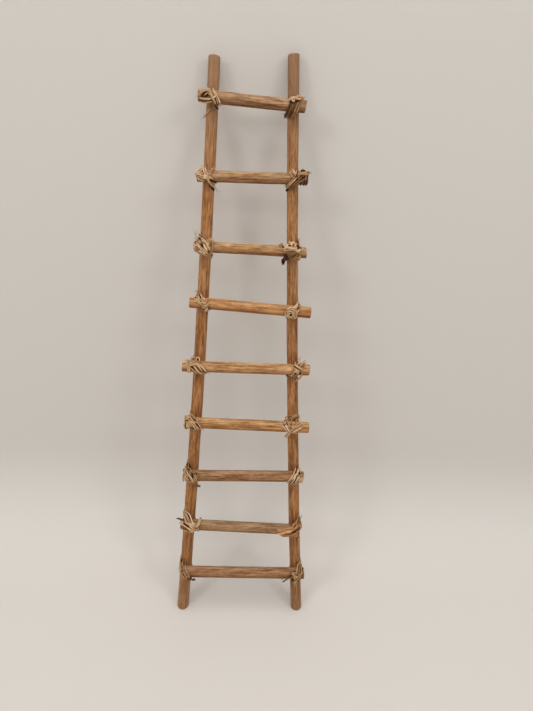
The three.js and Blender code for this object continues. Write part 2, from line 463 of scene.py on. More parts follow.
class Crossing:
    """Where a rung lies across a rail. Its own frame has x across the ladder, y towards the back and z up the
    ladder, with its origin on the rail's centre line. rung and rail hold the slope, radius and y of each."""

    SAMPLES = 400

    def __init__(self, rung, rail):
        stations = np.linspace(0, rail.length, self.SAMPLES)
        line = rail.centre(stations) - rung.centre(0.0)
        missed_by = line @ UP * (rung.axis @ ACROSS) - line @ ACROSS * (rung.axis @ UP)
        station = np.interp(0, missed_by, stations)
        self.origin = rail.centre(station)
        ahead = rail.centre(station + MM) - rail.centre(station - MM)
        reach = (self.origin - rung.centre(0.0)) @ ACROSS / (rung.axis @ ACROSS)
        depth = (rung.centre(reach) - self.origin) @ BACK
        self.rung = (math.atan2(rung.axis @ UP, rung.axis @ ACROSS), float(rung.radius(reach)), float(depth))
        self.rail = (math.atan2(ahead @ UP, ahead @ ACROSS), float(rail.radius(station)), 0.0)

    def world(self, points):
        """Places of the crossing's frame in the scene."""
        return self.origin + np.asarray(points) @ np.array([ACROSS, BACK, UP])

    def turn(self, phi, slant, shift, poles):
        """A strand drawn tight round the poles, in upright planes along the slant and shifted sideways from
        the crossing. Each pole is cut in an ellipse, and the strand follows their convex outline. Gives the
        points and the outward directions at the angles phi, where -90 degrees is the front."""
        c, s = np.cos(phi), np.sin(phi)
        farthest = np.full_like(phi, -np.inf)
        along, depth = np.zeros_like(phi), np.zeros_like(phi)
        for angle, radius, middle in poles:
            long = radius / np.abs(np.sin(slant - angle))
            offset = -shift / np.tan(slant - angle)
            span = np.hypot(long * c, radius * s)
            reach = span + offset * c + middle * s
            better = reach > farthest
            farthest = np.where(better, reach, farthest)
            along = np.where(better, offset + long**2 * c / span, along)
            depth = np.where(better, middle + radius**2 * s / span, depth)
        cos, sin = np.cos(slant), np.sin(slant)
        points = np.stack([along * cos - shift * sin, depth, along * sin + shift * cos], -1)
        return points, np.stack([c * cos, s, c * sin], -1)

    def front(self, x, z):
        """The front of the poles at places seen from the front, with the outward direction there. Beside the
        poles it is the rail's middle plane."""
        points = np.stack([x, 0 * x, z], -1)
        outward = np.tile([0.0, -1.0, 0.0], (len(x), 1))
        for angle, radius, middle in (self.rail, self.rung):
            beside = (z * math.cos(angle) - x * math.sin(angle)) / radius
            rise = np.sqrt(np.maximum(1 - beside**2, 0))
            nearer = (rise > 0) & (middle - radius * rise < points[:, 1])
            points[nearer, 1] = (middle - radius * rise)[nearer]
            away = np.stack([-beside * math.sin(angle), -rise, beside * math.cos(angle)], -1)
            outward[nearer] = away[nearer]
        return points, outward


# --- Strands of fibre -----------------------------------------------------------------------------

STRAND_STEP = 0.65 * MM
STRAND_SIDES = 10
STRAND_HALF_WIDTH = 0.7 * MM
STRAND_HALF_DEPTH = 0.46 * MM
STRAND_APART = 0.8 * MM  # between the middles of two strands that rest on each other
WHISKER_RADIUS = 0.1 * MM
PLIES = 3
PLY_TURN = 7 * MM  # along a strand for one turn of its plies
PLY_RELIEF = 0.16  # height of the plies as a share of the strand's size
ROLL = 0.7  # radians by which a flat strand leans one way and the other
STRAND_SINK = 0.05 * MM  # how deep a strand is pressed into what it lies on
STRAND_WAVER = 0.25 * MM  # how far a strand strays sideways
TIPS = (0.35, 0.35)  # the size of a strand's two tips
TAIL_TIPS = (0.6, 0.15)
KNOT_TIPS = (0.6, 0.6)
TIP_LENGTH = 2 * MM
FRAYED = 3  # whiskers at a loose end
PATH_STEP = 0.3 * MM
PATH_ROUNDING = 4  # steps over which a strand's path is rounded where it goes over an edge
TURN_STEPS = 240  # steps of a turn round the poles
LEG_STEPS = 40  # steps of a drawn route for each of its places
BEND = 9.0  # steps over which the corners of a drawn route are rounded
WIDE_BEND = 20.0  # the same for loops and loose ends
LET_GO = 4 * MM  # past a rung's edge, a strand that is held in front of it comes back to the rail
STIFF = 12 * MM  # the same for a stiff loose end
SLANT_SPREAD = 3  # degrees by which the turns of a bundle differ
BEHIND = 44  # degrees at which a turn crosses the back of the rail
RING_STEP = 24  # degrees between the places of a loop
KNOT_STEP = 0.5 * MM
KNOT_OPENING = 0.3  # radians left open between a knot's two ends, on each side
KNOT_RISE = 0.3 * MM  # how far a knot's middle line is lifted off what it lies on
WEAVE = 0.45 * MM  # how far a knot's strand goes over and under itself
TONE_SPREAD = 0.17  # how far a strand's tone differs from the one asked for
DARK = -0.1  # the tone of the dark strands laid in a lashing's gaps and holes as painted shade, a step darker than any other
SHADED_GAP_SHARE = 0.75  # share of a sheaf's gaps that get a dark strand as painted shade
GAP_DEPTH = 0.8  # millimetres by which those strands are held farther back
ASTRAY = 0.24  # millimetres by which the places of a sheaf's strands differ


def smooth(columns, reach):
    """The columns with each value averaged with its neighbours, in a bell that many steps wide."""
    width = int(3 * reach)
    bell = np.exp(-0.5 * (np.arange(-width, width + 1) / reach) ** 2)
    bell /= bell.sum()
    padded = np.pad(columns, ((width, width), (0, 0)), mode="edge")
    return np.stack([np.convolve(column, bell, "valid") for column in padded.T], -1)


def spaced(points, outward, step=STRAND_STEP):
    """The path and its outward directions at points one step apart."""
    along = np.concatenate([[0], np.cumsum(np.linalg.norm(np.diff(points, axis=0), axis=1))])
    places = np.linspace(0, along[-1], max(5, round(along[-1] / step)))
    both = np.stack([np.interp(places, along, column) for column in np.hstack([points, outward]).T], -1)
    return both[:, :3], unit(both[:, 3:])


class Lashing:
    """The strands round one crossing, each resting on those laid before it. The moves take millimetres and
    degrees in the crossing's frame. Tone goes from 0, dark brown, to 1, pale straw. A strand with out is held
    at least that far in front of the rung's middle line."""

    STRETCH = 10  # points lifted together, so that a strand rests on its own earlier turns
    GUARD = 4  # points just before them that don't count

    def __init__(self, crossing, tone, seed):
        self.crossing = crossing
        self.tone = tone
        self.rng = np.random.default_rng(seed)
        self.shell = Shell()
        self.laid = np.zeros((0, 3))

    def near(self, low, high):
        """The next random draw."""
        return self.rng.uniform(low, high)

    # How strands lie.

    def clearance(self, points, outward, others):
        """How far each point has to move outward to rest on the other strands."""
        if not len(others):
            return np.zeros(len(points))
        towards = others[None] - points[:, None]
        ahead = (towards * outward[:, None]).sum(-1)
        room = STRAND_APART**2 + ahead**2 - (towards**2).sum(-1)
        touching = (room > 0) & (ahead > -2 * STRAND_APART)
        return np.where(touching, ahead + np.sqrt(np.maximum(room, 0)), 0).max(1).clip(0)

    def lay(self, points, outward, width=1.0, tone=None, tips=TIPS):
        """A strand along the points, lifted clear of the others."""
        points, outward = spaced(points, outward)
        ahead = unit(np.gradient(points, axis=0))
        sideways = noise_at(points, 5 * MM, self.near(0, 50)) * STRAND_WAVER
        base = points + outward * (STRAND_HALF_DEPTH - STRAND_SINK)
        base += np.cross(ahead, outward) * sideways[:, None]
        path = base.copy()
        lift = np.zeros(len(base))
        for start in range(0, len(base), self.STRETCH):
            part = slice(start, start + self.STRETCH)
            others = np.vstack([self.laid, path[:max(start - self.GUARD, 0)]])
            lift[part] = self.clearance(base[part], outward[part], others)
            path[part] = base[part] + outward[part] * lift[part, None]
        path = base + outward * smooth(lift[:, None], 1.5)
        self.laid = np.vstack([self.laid, path])
        self.skin(path, outward, width, self.tone if tone is None else tone, tips)
        return path

    def skin(self, path, outward, width, tone, tips):
        """A strand's surface: flat plies twisted together, thinner at its two tips."""
        ahead = unit(np.gradient(path, axis=0))
        side = unit(np.cross(ahead, outward))
        up = np.cross(side, ahead)
        run = np.concatenate([[0], np.cumsum(np.linalg.norm(np.diff(path, axis=0), axis=1))])
        start = self.near(0, 50)
        line = np.stack([0 * run + start, 0 * run, run / MM], -1)
        roll = ROLL * noise_at(line, 6.0)[:, None]
        size = width * (1 + 0.2 * noise_at(line, 3.5, 1.0)) * self.near(0.92, 1.08)
        for tip, from_end in zip(tips, (run, run[-1] - run)):
            size = size * np.minimum(1, tip + (1 - tip) * from_end / TIP_LENGTH)
        angles = np.arange(STRAND_SIDES) * 2 * np.pi / STRAND_SIDES
        twist = 2 * np.pi * run[:, None] / PLY_TURN + start
        plies = size[:, None] * (1 + PLY_RELIEF * np.cos(PLIES * (angles + twist)))
        wide = STRAND_HALF_WIDTH * plies * np.cos(angles)
        deep = STRAND_HALF_DEPTH * plies * np.sin(angles)
        across = wide * np.cos(roll) - deep * np.sin(roll)
        outer = wide * np.sin(roll) + deep * np.cos(roll)
        rings = path[:, None] + across[..., None] * side[:, None] + outer[..., None] * up[:, None]
        places = np.stack([wide, outer, np.broadcast_to(run[:, None] + start * MM, wide.shape)], -1)
        shade = np.clip(tone + self.near(-TONE_SPREAD, TONE_SPREAD), 0, 1)
        self.shell.add_rings(self.crossing.world(rings), places, shade)

    # Turns round the poles.

    def bundle(self, slant, at, turns=2, pitch=1.4, width=1.0, tone=None):
        """One strand wound round both poles. Its turns cross the rung's middle line side by side, round the
        place at."""
        number = np.arange(turns) - (turns - 1) / 2
        slants = np.radians(slant + self.rng.uniform(-SLANT_SPREAD, SLANT_SPREAD, turns))
        places = (at + number * pitch / abs(math.sin(math.radians(slant)))) * MM
        fronts = 2 * np.pi * np.arange(turns) - np.pi / 2
        phi = np.linspace(fronts[0] - 0.95 * np.pi, fronts[-1] + 0.95 * np.pi, TURN_STEPS * turns)
        in_front = (1 - np.sin(phi)) / 2
        behind = math.copysign(math.radians(BEHIND), slant)
        turned = in_front * np.interp(phi, fronts, slants) + (1 - in_front) * behind
        shift = np.interp(phi, fronts, -places * np.sin(slants))
        poles = (self.crossing.rung, self.crossing.rail)
        self.lay(*self.crossing.turn(phi, turned, shift, poles), width, tone)

    def wraps(self, places, tilt, width=1.0, tone=None):
        """Single turns round the rung only, at places along it from the crossing."""
        pole = self.crossing.rung
        for place in places:
            slant = pole[0] + math.pi / 2 + math.radians(tilt + self.near(-5, 5))
            phi = np.linspace(0.4, 0.4 + 2.06 * math.pi, TURN_STEPS)
            shift = np.full_like(phi, -place * MM)
            self.lay(*self.crossing.turn(phi, np.full_like(phi, slant), shift, (pole,)), width, tone)

    # Strands laid over the front, given by the places they pass.

    def over(self, places, out=None, width=1.0, tone=None, tips=TIPS, bend=BEND, let_go=LET_GO):
        """A strand over the front through the places (x, z)."""
        corners = np.array(places, float) * MM
        share = np.linspace(0, len(corners) - 1, LEG_STEPS * len(corners))
        way = np.stack([np.interp(share, np.arange(len(corners)), column) for column in corners.T], -1)
        way = smooth(way, bend)
        flat = np.stack([way[:, 0], 0 * way[:, 0], way[:, 1]], -1)
        flat = spaced(flat, flat + 1, PATH_STEP)[0]
        points, outward = self.crossing.front(flat[:, 0], flat[:, 2])
        if out is not None:
            held = self.held(flat[:, 0], flat[:, 2], out, let_go)
            outward[points[:, 1] > held] = (0, -1, 0)
            points[:, 1] = np.minimum(points[:, 1], held)
        points[:, 1] = np.minimum(points[:, 1], smooth(points[:, 1:2], PATH_ROUNDING)[:, 0])
        return self.lay(points, unit(smooth(outward, PATH_ROUNDING)), width, tone, tips)

    def gap(self, places, out=None, width=1.5):
        """A strand in the darkest tone: painted shade that reads as a shadowed gap between the others."""
        self.over(places, out, width, DARK)

    def stiff(self, places, out, width, tone, tips=TIPS):
        """A strand with a stiff end that stays well in front of the rail."""
        self.over(places, out, width, tone, tips, let_go=STIFF)

    def held(self, x, z, out, let_go):
        """The y of a strand that is held out. Past the rung's edges it comes back to the rail in let_go."""
        angle, radius, middle = self.crossing.rung
        past_edge = np.abs(z * math.cos(angle) - x * math.sin(angle)) - radius
        return (middle - out * MM) * np.clip(1 - past_edge / let_go, 0, 1)

    def sheaf(self, places, strands, pitch=1.7, out=None, width=0.95, tone=None, dark=True):
        """Strands side by side through the places, over dark ones, painted shade, that show in the gaps
        between them. pitch is their spacing, or a pair of spacings at the first and the last place."""
        places = np.array(places, float)
        ahead = unit(places[-1] - places[0])
        spacing = np.linspace(*(pitch if isinstance(pitch, tuple) else (pitch, pitch)), len(places))
        across = np.array([-ahead[1], ahead[0]]) * spacing[:, None]
        numbers = np.arange(strands) - (strands - 1) / 2
        lower = None if out is None else out - GAP_DEPTH
        # Painted shade: dark strands laid deeper, in the gaps between the strands.
        for number in numbers[:-1] + 0.5 if dark else ():
            if self.near(0, 1) < SHADED_GAP_SHARE:
                self.gap(places + across * number, lower, 1.1)
        for number in numbers:
            slid = np.linspace(self.near(-0.7, 0.7), self.near(-0.7, 0.7), len(places))[:, None] * ahead
            astray = self.rng.normal(0, ASTRAY, places.shape)
            self.over(places + across * number + slid + astray, out, width * self.near(0.8, 1.15), tone)

    def ring(self, x, z, wide, high, start, sweep, turns_in=0.0, out=4.0, width=1.0, tone=None):
        """An open loop or, with turns_in, a spiral: it starts at an angle and sweeps round its middle."""
        share = np.linspace(0, 1, max(8, round(abs(sweep) / RING_STEP)))
        angle = np.radians(start + sweep * share)
        size = 1 - turns_in * share
        places = np.stack([x + wide * size * np.cos(angle), z + high * size * np.sin(angle)], -1)
        self.over(places, out, width, tone, bend=WIDE_BEND)

    def knot(self, x, z, size, turn=0.0, width=0.9, tone=None):
        """An overhand knot, flat on what lies under it."""
        t = np.linspace(KNOT_OPENING, 2 * np.pi - KNOT_OPENING, 160)
        loops = np.stack([np.sin(t) + 2 * np.sin(2 * t), np.cos(t) - 2 * np.cos(2 * t)], -1) / 3 * size
        c, s = math.cos(math.radians(turn)), math.sin(math.radians(turn))
        places = (loops @ np.array([[c, s], [-s, c]]) + (x, z)) * MM
        points, outward = self.crossing.front(*places.T)
        points[:, 1] = points[:, 1].min()
        outward[:] = (0, -1, 0)
        under = np.quantile(self.clearance(points, outward, self.laid), 0.7)
        height = under + KNOT_RISE + WEAVE * np.sin(3 * t)
        path, outward = spaced(points + outward * height[:, None], outward, KNOT_STEP)
        self.laid = np.vstack([self.laid, path])
        self.skin(path, outward, width, self.tone if tone is None else tone, KNOT_TIPS)

    # Loose ends.

    def front_at(self, x, z):
        """The point on the front of the poles, and the outward direction there."""
        return self.crossing.front(np.array([x]) * MM, np.array([z]) * MM)

    def tail(self, x, z, heading, length, curl=0.0, rise=1.0, width=0.9, tone=None):
        """A loose end that leaves the front in a direction, curls and frays."""
        share = np.linspace(0, 1, 12)
        turn = np.radians(heading + curl * share)
        step = length / len(share)
        places = np.stack([x + np.cumsum(np.cos(turn)) * step, z + np.cumsum(np.sin(turn)) * step], -1)
        out = (self.crossing.rung[2] - self.front_at(x, z)[0][0, 1]) / MM + rise * 0.5
        path = self.over(places, out, width, tone, TAIL_TIPS, WIDE_BEND, STIFF)
        for _ in range(FRAYED):
            k = -1 - self.rng.integers(0, 4)
            frayed_heading = heading + curl + self.near(-25, 25)
            self.whisker(path[k], frayed_heading, self.near(0.25, 0.5) * length, tone)

    def whiskers(self, x, z, heading, length, count=1, spread=20, tone=None):
        """Loose fibres from one place."""
        points, outward = self.front_at(x, z)
        root = points + outward * self.clearance(points, outward, self.laid)[:, None]
        for _ in range(count):
            own_heading = heading + self.near(-spread, spread)
            self.whisker(root[0], own_heading, length * self.near(0.7, 1.1), tone)

    def whisker(self, root, heading, length, tone=None):
        """A loose fibre that bends as it goes."""
        share = np.linspace(0, 1, 9)
        turn = np.radians(heading + self.near(-45, 45) * share)
        lean = self.near(-0.1, 0.5)
        step = length * MM / len(share)
        path = root + np.stack([np.cos(turn), 0 * turn - lean, np.sin(turn)], -1).cumsum(0) * step
        self.hair(np.vstack([root, path]), tone)

    def fuzz(self, count):
        """Short fibres that stand off the strands here and there."""
        share = np.linspace(0, 1, 7)[:, None]
        for k in self.rng.integers(1, len(self.laid) - 1, count):
            root = self.laid[k]
            along = unit(self.laid[k] - self.laid[k - 1])
            away = unit(root - (0, self.crossing.rung[2] / 2, 0))
            bend = self.rng.normal(0, 0.4, 3)
            self.hair(root + self.near(1.2, 4) * MM * (share * (0.8 * along + 0.5 * away) + share**2 * bend))

    def hair(self, path, tone=None):
        """The surface of a fibre, which tapers to a point."""
        ahead = unit(np.gradient(path, axis=0))
        side = unit(np.cross(ahead, (0.1, -1.0, 0.2)))
        up = np.cross(side, ahead)
        thin = WHISKER_RADIUS * np.linspace(1, 0.3, len(path))[:, None]
        angles = np.arange(4) * np.pi / 2
        wide, deep = thin * np.cos(angles), thin * np.sin(angles)
        rings = path[:, None] + wide[..., None] * side[:, None] + deep[..., None] * up[:, None]
        run = np.broadcast_to(np.linspace(0, 5 * MM, len(path))[:, None], wide.shape)
        shade = np.clip((self.tone if tone is None else tone) + self.near(-0.1, 0.3), 0, 1)
        self.shell.add_rings(self.crossing.world(rings), np.stack([wide, deep, run], -1), shade)


# --- The lashings, from the top of the ladder down ------------------------------------------------

RECIPES = {}


def recipe(rung, side, tone, fibre="straw_fibre"):
    """Keeps the moves of one lashing under its rung and side, with its tone and the name of its fibre."""

    def keep(moves):
        RECIPES[rung, side] = (tone, fibre, moves)
        return moves

    return keep


@recipe(9, "left", tone=0.6)
def tie_with_an_eye(tie):
    tie.bundle(-52, at=1)
    tie.gap([(-7, -1), (-4, 1.5), (-1.5, 3)])
    tie.gap([(-6.5, 0), (-3.5, 0), (-1, 1)], width=1.4)
    tie.over([(-9.5, -3.5), (-5, -4), (-1, -3.5), (1.5, -3)], tone=0.6)
    tie.over([(-9.5, -1.5), (-5.5, -2), (-1.5, -2), (1, -1)], tone=0.55)
    tie.sheaf([(-1.5, 4), (1, 1.5), (3, -2), (4.5, -6)], 4, pitch=1.3, out=4.6, width=0.85)
    tie.over([(-9.5, 0.5), (-7, 2), (-4, 3.5), (-1.5, 4), (0.5, 1.5)], out=5, width=1.1)
    tie.over([(-9.5, -1), (-7.5, 1), (-4.5, 3), (-1.5, 3), (0.5, -1), (3, -5)], out=5.2, width=1.1)
    tie.over([(0, -2.5), (2.5, -1), (4.5, 0.5)], out=6, width=0.9)
    tie.over([(-5.5, -0.5), (-3.5, 1), (-2, 2)], out=4.8, width=0.8, tone=0.5)
    tie.over([(2.5, -5.5), (3.5, -7), (5, -7.5)], out=3, tone=0.1)
    tie.tail(-0.5, -6, heading=-116, length=10, curl=-25, rise=2, tone=0.55)
    tie.whiskers(-8, 2, 140, 3, count=3)


@recipe(9, "right", tone=0.24)
def steep_tie_with_a_pale_knot(tie):
    tie.bundle(58, at=0.5)
    for lane, shade in zip((-2, -1, 0, 1, 2), (0.2, 0.4, 0.2, 0.45, 0.3)):
        aside = 1.8 * lane
        places = [(1.5 + aside, 4), (0.5 + aside, 1), (-1.5 + aside, -4.5), (-3 + 0.9 * aside, -8.5)]
        tie.over(places, out=4, width=0.95, tone=shade)
    tie.gap([(-4, 2), (-1, 1.5), (1.5, 3), (4, 3.5)], out=4.6, width=1.4)
    tie.over([(-4.5, 3), (-2, 4), (0.5, 4), (4, 6)], out=4.6, width=1.5, tone=0.75)
    tie.knot(-1.5, 3.5, 1.6, turn=20, tone=0.75)
    tie.knot(2, 4.5, 1.5, turn=70, tone=0.7)
    tie.over([(3.5, 3.5), (6.5, 3), (8.5, 1)], out=4.4, tone=0.5)
    tie.over([(2.5, 5), (5, 6.5), (7, 5.5)], out=4, width=1.2, tone=0.5)
    tie.tail(4, 4.5, heading=15, length=4, curl=20, tone=0.4)
    tie.tail(-4, -6, heading=175, length=3, tone=0.1)


@recipe(8, "left", tone=0.66)
def tie_round_the_rung_end(tie):
    tie.bundle(-50, at=0.5)
    tie.sheaf([(-9, 0), (-6, -1), (-1.5, -2.5)], 3, pitch=(0.9, 1.7), out=3.6, tone=0.6)
    tie.sheaf([(-9, 0.5), (-6.5, 2.5), (-3, 5)], 3, pitch=(0.9, 1.8), out=3.8, tone=0.7)
    tie.sheaf([(-4, 5.5), (-3, 2.5), (-2, -0.5)], 3, pitch=1.7, out=4.3, tone=0.75)
    tie.gap([(0.5, -6.5), (2.5, -8.5), (4.5, -10.5)], out=2, width=1.3)
    tie.over([(-4.5, -1.5), (-1.5, -0.5), (0.5, -3), (2.5, -6), (5, -8)], out=4, width=1.4, tone=0.8)
    tie.over([(0, -1.5), (1, -4.5), (3, -6.5), (5.5, -7)], out=3.4, tone=0.65)
    # Painted shade: a strand in the darkest tone where the lashing shows a dark gap.
    tie.over([(1.5, -2.5), (4, -3.5), (7, -4.5)], out=5.4, width=1.5, tone=DARK, tips=(0.9, 0.7))
    tie.over([(5, 6.5), (3, 4), (1.5, 0)], out=4.4, width=0.9, tone=0.45)
    tie.over([(4, 6), (2, 3.5), (0.5, 0)], out=4.4, tone=0.5)
    tie.knot(-2, -0.5, 1.3, tone=0.85)
    tie.whiskers(5, -8, -60, 7, count=4, spread=15)


@recipe(8, "right", tone=0.3)
def flat_tie_with_a_loop(tie):
    tie.bundle(46, at=0.5)
    tie.wraps((6, 8, 10), tilt=-4, width=0.5, tone=0.05)
    tie.sheaf([(-4.5, -8), (-1, -4), (2.5, -0.5), (6.5, 3)], 4, pitch=(1.4, 2), out=4, width=0.85, tone=0.45)
    tie.sheaf([(-3, 6.5), (-1, 4), (1, 1)], 3, pitch=1.5, out=4.8, tone=0.6, dark=False)
    tie.sheaf([(2, 0.5), (3, 3.5), (3.5, 6)], 3, pitch=1.4, out=5, tone=0.5)
    tie.gap([(5.5, 5), (7, 5.5), (8.5, 6)], width=1.6)
    tie.ring(7, 5.5, 1.5, 1.2, start=200, sweep=-320, out=2, width=1.1, tone=0.15)
    tie.over([(2, 3), (5, 4), (8, 4.5), (11.5, 4)], out=4.4, width=1.2, tone=0.6)
    tie.over([(5, 3), (8, 3.5), (11.5, 3)], out=4.4, tone=0.4)
    tie.tail(9.5, 5.5, heading=-2, length=4, curl=-20, tone=0.4)
    tie.tail(-4, -7.5, heading=-110, length=2.5, tone=0.05, width=1.2)
    tie.whiskers(12, 5, 10, 4, count=4, spread=30)


@recipe(7, "left", tone=0.6)
def tie_with_long_whiskers(tie):
    tie.bundle(-46, at=0)
    tie.sheaf([(-6.5, 4.5), (-6.5, 0), (-6, -4)], 3, pitch=1.5, out=3.6, tone=0.5)
    tie.sheaf([(-5.5, -3), (-1, -5), (3, -7), (5.5, -8.5)], 3, pitch=1.4, out=4, width=1.1, tone=0.6)
    tie.sheaf([(4, 6), (5, 1), (4.5, -5)], 3, pitch=1.5, out=4, tone=0.42)
    tie.sheaf([(-6, 7.5), (-2, 6.5), (2.5, 4), (5, 1)], 3, pitch=1.4, out=3.8, tone=0.6)
    tie.sheaf([(-6.5, 5), (-3, 3), (0.5, -0.5), (4, -4)], 5, pitch=1.5, out=4.2)
    tie.gap([(-3, 3.5), (-1.5, 2), (-0.5, 0.5)], out=5.8)
    tie.over([(-1, 3), (1, 0), (3, -3)], out=5.8, width=1.2, tone=0.9)
    tie.over([(-3, 6), (0.5, 4), (3, 1), (5, -2.5)], out=5.2, tone=0.75)
    tie.over([(3, 5.5), (5, 6.5), (6.5, 5)], out=2, width=1.2, tone=0.6)
    tie.knot(4.5, -7.5, 1.8, tone=0.6)
    tie.whiskers(-6, 5.5, 97, 11, count=4, spread=8)
    tie.whiskers(-6, 4, 170, 3, count=3)


@recipe(7, "right", tone=0.7)
def curly_rosette(tie):
    tie.bundle(50, at=0, tone=0.35)
    tie.sheaf([(-3.5, -6), (0.5, -5), (4.5, -1.5)], 3, pitch=1.5, out=2, tone=0.35)
    tie.sheaf([(3.5, 1), (-1.5, 0), (-5, -3), (-7, -6)], 2, pitch=1.6, out=4.4, tone=0.5)
    tie.gap([(-9, 4.5), (-4, 4.5), (1, 5.5), (5, 4)], out=4.4, width=1.6)
    tie.sheaf([(-9, 3), (-3, 4), (4, 4)], 3, pitch=1.7, out=4.6, width=1.2, tone=0.6)
    curls = (
        (-6.5, 5.5, 200), (-6, 2.5, 80), (-3.5, 6, 310), (-3, 3.5, 150), (-0.5, 6, 20), (0, 3, 260),
        (2.5, 5.5, 60), (3, 2.5, 200), (5.5, 3.5, 240),
    )
    for x, z, start in curls:
        tie.ring(x, z, 1.5, 1.3, start=start, sweep=200, out=5.2, width=1.4, tone=0.72)
    tie.knot(-10, 5, 1.3, turn=30, width=1.1, tone=0.45)
    tie.over([(-8, 3), (-5, 4.5), (-1.5, 3), (1, 3.5)], out=6.4, width=1.1, tone=0.85)
    tie.sheaf([(3.5, 4), (4.5, 7), (4, 10)], 2, pitch=1.3, width=0.9, tone=0.65)
    tie.over([(5.5, -1.5), (4.5, -5), (1, -6.5), (-2.5, -6)], out=4.6, width=1.5, tone=0.45)
    tie.over([(4, -2.5), (2, -4.5), (-1.5, -5)], out=4.4, width=1.5, tone=0.3)
    tie.over([(-5, -1.5), (-6, -5.5), (-7, -11)], out=4, width=1.8, tone=0.04, tips=(0.8, 0.8))
    tie.over([(-6, -2), (-7.5, -6.5), (-7, -12)], out=4, width=1.8, tone=0.04, tips=(0.8, 0.6))
    tie.whiskers(-6, -9, -80, 3, count=4, tone=0.05)


@recipe(6, "left", tone=0.64)
def woven_knot(tie):
    tie.bundle(-54, at=1)
    tie.sheaf([(-4.5, 6.5), (-2, 4), (0, 1)], 4, pitch=1.5, out=3.6, tone=0.75)
    tie.whiskers(-3.5, 7.5, 120, 3, count=6, spread=25)
    tie.gap([(0, -4), (0.5, -5.5), (1.5, -6)], width=1.7)
    tie.sheaf([(-0.5, 4), (2.5, 0.5), (5, -3)], 4, pitch=1.5, out=4.8, tone=0.66, dark=False)
    tie.sheaf([(-0.5, -2), (2.5, 0.5), (5.5, 4)], 4, pitch=1.5, out=5.4, tone=0.6, dark=False)
    tie.over([(0, 2.5), (2, 1.5), (4.5, 2)], out=6.2, tone=0.8)
    tie.ring(2.5, -5, 2.2, 2, start=140, sweep=290, out=3.8, width=1.1, tone=0.6)
    tie.knot(4, -4, 1.2, tone=0.5)


@recipe(6, "right", tone=0.64)
def round_rosette(tie):
    tie.bundle(54, at=1)
    tie.sheaf([(-0.5, -4), (1.5, 1), (4, 7.5)], 3, pitch=1.7, out=4, tone=0.65)
    tie.gap([(3, 3), (4.5, 5)], out=5, width=1.6)
    # Painted shade: dark rings under the spiral, for the shadowed hollows between its turns.
    for reach in (3.8, 2.6, 1.4):
        tie.ring(-2.5, -1.5, reach, 1.1 * reach, start=60, sweep=360, out=3.6, width=1.4, tone=DARK)
    tie.ring(-2.5, -1.5, 5.6, 6.4, start=100, sweep=-1150, turns_in=0.85, out=4.8, width=0.95)
    tie.gap([(-3, -1), (-2, -1.5)], out=6.4, width=1.2)
    tie.sheaf([(-6, 1.5), (-2.5, 4), (1, 4.5), (4, 8)], 2, pitch=1.5, out=5, tone=0.75)
    tie.whiskers(4, 7.5, 80, 4, count=3)


@recipe(5, "left", tone=0.62)
def fan_of_strands(tie):
    tie.wraps((-8.5, -7), tilt=6, tone=0.65)
    tie.bundle(-44, at=1)
    # Painted shade: a dark ring under the loop, for the shadowed hole inside it.
    tie.ring(-0.5, 6, 0.9, 0.9, start=-100, sweep=330, out=1, width=1.5, tone=DARK)
    tie.ring(-0.5, 6, 1.4, 1.3, start=-60, sweep=280, out=1.5, width=0.9, tone=0.6)
    tie.sheaf([(-6, 6), (-2, 5), (2.5, 3), (6.5, -1)], 3, pitch=1.4, out=3.8, tone=0.6)
    tie.sheaf([(-5.5, 4), (-2, 1.5), (2, -2.5), (5.5, -7)], 5, pitch=(1.4, 2), out=4.2)
    tie.sheaf([(-8, 3), (-5, 5.5), (-1.5, 5.5)], 3, pitch=1.5, out=4.8, tone=0.66, dark=False)
    tie.knot(-5.5, 4.5, 1.5, turn=40, tone=0.6)
    tie.gap([(-5, 3), (-4, 1)], out=5.6)
    tie.whiskers(8, -4, -30, 3, count=3)


@recipe(5, "right", tone=0.62)
def tie_with_three_tails(tie):
    tie.bundle(56, at=2)
    tie.sheaf([(-5, -7.5), (-1, -8), (3, -5)], 2, pitch=1.5, out=2.5, tone=0.4)
    tie.sheaf([(4.5, 6.5), (3, 2.5), (0.5, -3.5)], 4, pitch=1.9, out=4.2, width=1.3)
    tie.sheaf([(-0.5, 5), (3, 3), (6, 1)], 2, pitch=2, out=5.2, width=1.2, tone=0.62)
    tie.sheaf([(-1, 1.5), (2.5, 1), (5.5, -1)], 2, pitch=1.8, out=5.4, width=1.2, tone=0.6)
    tie.gap([(6, 1), (4.5, -2)], out=6, width=1.8)
    tie.tail(4, 5, heading=70, length=4.5, curl=-10, width=1.4, tone=0.55)
    tie.tail(5.5, 4.5, heading=50, length=5.5, curl=-10, width=1.3, tone=0.5)
    tie.tail(6, 4, heading=35, length=5, curl=10, width=1.2, tone=0.5)
    tie.stiff([(6.5, 1), (7, -4), (4.5, -9), (2, -13)], 4.5, width=1.2, tone=0.4)


@recipe(4, "left", tone=0.66)
def open_tie_with_end_wraps(tie):
    tie.wraps((-7.5, -6, -4.5), tilt=7, tone=0.6)
    tie.sheaf([(-6.5, 4.5), (-7.5, 0.5), (-6, -4)], 3, pitch=1.6, out=3.8, tone=0.66)
    tie.bundle(-50, at=0.5)
    tie.sheaf([(-5.5, 5), (-2.5, 3.5), (1, 0.5), (3, -4.5)], 5, pitch=(1.4, 2), out=4.2)
    tie.sheaf([(-5, 7), (-1, 5), (2.5, 2.5), (5.5, -2)], 3, pitch=1.6, out=4, tone=0.6)
    tie.over([(-4, 8), (-2, 7), (1, 5.5)], out=2, tone=0.6)
    tie.gap([(-3, -1), (0, -4)], out=5.6, width=1.2)
    tie.gap([(1, 3), (3.5, -0.5)], out=5.6, width=0.9)
    tie.whiskers(6.5, -4.5, -40, 4, count=3)


